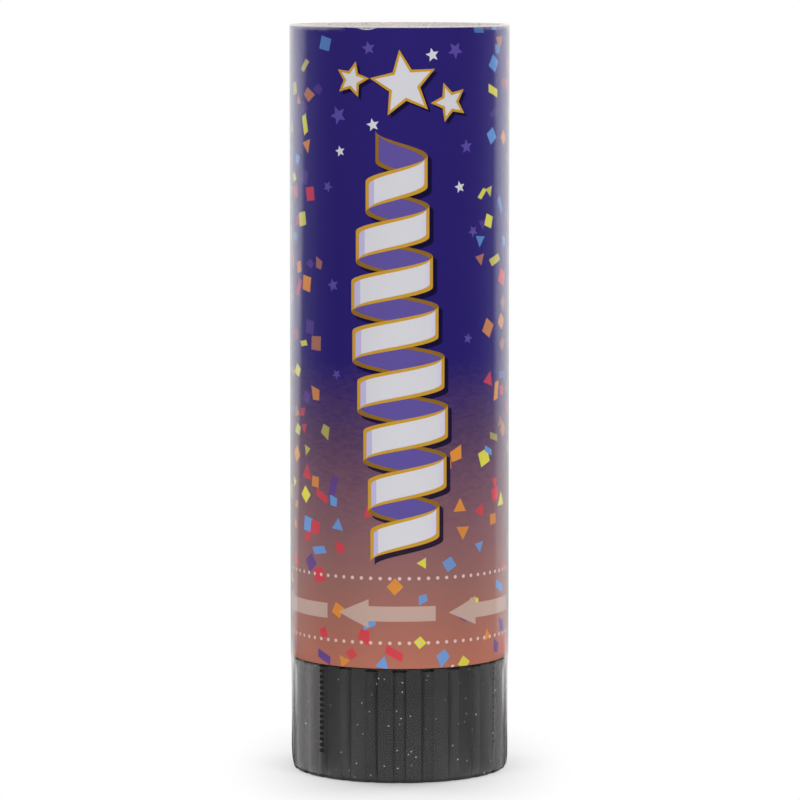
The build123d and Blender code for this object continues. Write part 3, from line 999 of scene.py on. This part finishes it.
dress("barrel_tube", recycled_board("spiral_wound_board", "#b9b2af", "#d5cdcb", "#a49b97", 1.6))
dress("muzzle_disc", recycled_board("punched_grey_board", "#b3a998", "#cbc2b3", "#857a6b", 1.2))
dress("pusher_wad", recycled_board("punched_chip_board", "#8d8478", "#a89f92", "#6b6258", 1.0))

# %% [markdown]
# ## Drive spring
# The spring is drawn wire, coiled cold. At rest it is squeezed between the key plate and the pusher, and
# when the pusher flies up it has to stretch with it.

# %% Spring wire
spring_low, spring_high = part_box("drive_spring")
WIRE_R = 0.9
SPRING_TURNS = 9.5
SPRING_R = spring_high.x / MM - WIRE_R
RING_SIDES, RINGS_PER_TURN = 10, 44
WIRE_CREASE = math.radians(60)
spring_foot, spring_head = spring_low.z / MM + WIRE_R, spring_high.z / MM - WIRE_R
rings = round(SPRING_TURNS * RINGS_PER_TURN)
spring_points = []
for i in range(rings + 1):
    turn = 2 * math.pi * i / RINGS_PER_TURN
    z = spring_foot + (spring_head - spring_foot) * i / rings
    for j in range(RING_SIDES):
        side = 2 * math.pi * j / RING_SIDES
        reach = SPRING_R + WIRE_R * math.cos(side)
        spring_points.append((reach * math.cos(turn), reach * math.sin(turn), z + WIRE_R * math.sin(side)))
first_end = tuple(range(RING_SIDES))
last_end = tuple(reversed(range(rings * RING_SIDES, (rings + 1) * RING_SIDES)))
spring_faces = [first_end, last_end]
for i in range(rings):
    for j in range(RING_SIDES):
        k = (j + 1) % RING_SIDES
        here, after = i * RING_SIDES, (i + 1) * RING_SIDES
        spring_faces.append((here + k, here + j, after + j, after + k))


def metal(name, kind, pattern, stops, sheen):
    """Bare or plated metal: one pattern gives its tone and its sheen."""
    material, add = start_material(name)
    place = add("ShaderNodeTexCoord").outputs["Object"]
    grain = add(kind, {"Vector": place, **pattern})
    tone = add("ShaderNodeValToRGB", {0: grain}, stops)
    rough = add("ShaderNodeMapRange", {"Value": grain, "To Min": sheen[0], "To Max": sheen[1]})
    shader = add("ShaderNodeBsdfPrincipled", {"Base Color": tone, "Metallic": 1.0, "Roughness": rough})
    add("ShaderNodeOutputMaterial", {"Surface": shader})
    return material


drawn = {"Scale": per_metre(0.5), "Detail": 5.0}
wire_tones = [(0.35, "#8b8c8e"), (0.65, "#b4b5b6")]
drawn_wire = metal("spring_steel_drawn_wire", "ShaderNodeTexNoise", drawn, wire_tones, (0.22, 0.42))
spring = new_piece("spring_coil", spring_points, spring_faces, [drawn_wire])
spring.data.set_sharp_from_angle(angle=WIRE_CREASE)
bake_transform(spring)
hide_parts("drive_spring")
print("spring rings:", rings + 1)

# %% [markdown]
# ## Zinc-plated washer
# A small punched steel washer keeps the stem's head from wearing into the pusher. Zinc plating is a
# bluish grey with fine cloudy grains, brighter than bare steel.

# %% Washer
grains = {"Scale": per_metre(0.9)}
zinc_tones = [(0.1, "#a9adb2"), (0.8, "#c9ccd0")]
zinc = metal("zinc_plated_steel_punched", "ShaderNodeTexVoronoi", grains, zinc_tones, (0.25, 0.4))
dress("stem_washer", zinc)

# %% [markdown]
# ## Tissue slips
# The charge is dyed tissue paper, cut in slips and laid in bundles of one colour. CAD has one block to a
# bundle. Here each block is read back from its node, by its heights and corners, and filled with
# separate slips that curl a little, lie slightly askew and stay inside the block. Real bundles hold some
# dozens; seven are enough to show.

# %% Tissue material
TISSUES = {"red": ("#b8232f", "#cf3a45"), "orange": ("#d27a22", "#e2943c"), "yellow": ("#d6c233", "#e6d858"),
           "blue": ("#3f78c0", "#5f97d8"), "purple": ("#4f3486", "#68499f")}


def dyed_tissue(name, deep, pale):
    """Thin, matt dyed paper with a soft mottle."""
    material, add = start_material(name)
    mottle = add("ShaderNodeTexNoise", {
        "Vector": add("ShaderNodeTexCoord").outputs["Object"],
        "Scale": per_metre(1.5),
        "Detail": 5.0,
        "Roughness": 0.65,
    })
    tint = add("ShaderNodeValToRGB", {0: mottle}, [(0.3, deep), (0.7, pale)])
    bump = add("ShaderNodeBump", {"Height": mottle, "Strength": 0.3, "Distance": 0.05 * MM})
    matt = add("ShaderNodeBsdfPrincipled", {
        "Base Color": tint,
        "Roughness": 0.9,
        "Specular IOR Level": 0.2,
        "Normal": bump,
    })
    add("ShaderNodeOutputMaterial", {"Surface": matt})
    return material


print("tissue colours:", ", ".join(TISSUES))

# %% Blocks and slips
SLIP_WALL = 0.12
ALONG, ACROSS = 10, 5
ROW = ALONG + 1
SLIP_WAVE = 0.18


def blocks_of(node):
    """Each block of a node: its middle, its long and short half sides, and its lowest and highest point."""
    layers = {}
    for vertex in nodes[node].data.vertices:
        x, y, z = (c / MM for c in vertex.co)
        layers.setdefault(round(z, 2), set()).add((round(x, 3), round(y, 3)))
    heights = sorted(layers)
    for low, high in zip(heights[::2], heights[1::2]):
        corners = [Vector(c) for c in layers[low]]
        middle = sum(corners, Vector((0, 0))) / len(corners)
        first = corners[0]
        others = sorted(corners[1:], key=lambda c: (c - first).length)
        yield middle, (others[1] - first) / 2, (others[0] - first) / 2, low, high


def slip(points, faces, middle, long_half, short_half, z, bow, phase):
    """Adds one curled slip, upper and lower side and edges, to a mesh's points and faces."""
    first = len(points)
    for face in (0, 1):
        for j in range(ACROSS + 1):
            for i in range(ROW):
                a, b = 2 * i / ALONG - 1, 2 * j / ACROSS - 1
                flat = middle + long_half * a + short_half * b
                lift = bow * (a * a - 0.4) + SLIP_WAVE * math.sin(2.4 * a + phase) * (0.6 + 0.4 * b)
                points.append((flat.x, flat.y, z + lift + face * SLIP_WALL))
    sheet = ROW * (ACROSS + 1)
    for j in range(ACROSS):
        for i in range(ALONG):
            k = first + j * ROW + i
            faces.append((k, k + ROW, k + ROW + 1, k + 1))
            faces.append((k + sheet, k + sheet + 1, k + sheet + ROW + 1, k + sheet + ROW))
    border = list(range(ROW)) + [j * ROW + ALONG for j in range(1, ACROSS + 1)]
    border += [ACROSS * ROW + i for i in range(ALONG - 1, -1, -1)]
    border += [j * ROW for j in range(ACROSS - 1, 0, -1)]
    for p, q in zip(border, border[1:] + border[:1]):
        faces.append((first + p, first + q, first + q + sheet, first + p + sheet))


print("blocks to a colour:", len(list(blocks_of("confetti_red"))))

# %% Bundles
SLIPS = 7
SLIP_HEADROOM = 0.5
SLIP_ASKEW = math.radians(4.0)
SLIP_LENGTH, SLIP_WIDTH = (0.78, 0.9), (0.72, 0.84)
SLIP_SHIFT = (-0.06, 0.06)
BUNDLE_BOW, SLIP_BOW = (-0.3, 0.3), (-0.06, 0.06)
PHASE_STEP = 0.2
SLIP_CREASE = math.radians(50)
folds = random.Random(23)

for colour, (deep, pale) in TISSUES.items():
    slip_points, slip_faces = [], []
    for middle, long_half, short_half, low, high in blocks_of("confetti_" + colour):
        step = (high - low - 2 * SLIP_HEADROOM - SLIP_WALL) / (SLIPS - 1)
        bow, phase = folds.uniform(*BUNDLE_BOW), folds.uniform(0, 6.28)
        for i in range(SLIPS):
            askew = Matrix.Rotation(folds.uniform(-SLIP_ASKEW, SLIP_ASKEW), 2)
            long_side = askew @ long_half * folds.uniform(*SLIP_LENGTH)
            short_side = askew @ short_half * folds.uniform(*SLIP_WIDTH)
            shift = long_half * folds.uniform(*SLIP_SHIFT) + short_half * folds.uniform(*SLIP_SHIFT)
            curl = bow + folds.uniform(*SLIP_BOW)
            z = low + SLIP_HEADROOM + step * i
            turn = phase + PHASE_STEP * i
            slip(slip_points, slip_faces, middle + shift, long_side, short_side, z, curl, turn)
    tissue = dyed_tissue("dyed_tissue_" + colour, deep, pale)
    bundle = new_piece("slips_" + colour, slip_points, slip_faces, [tissue])
    bundle.data.set_sharp_from_angle(angle=SLIP_CREASE)
    mount(bundle, "charge", "tissue_" + colour, "confetti_" + colour)
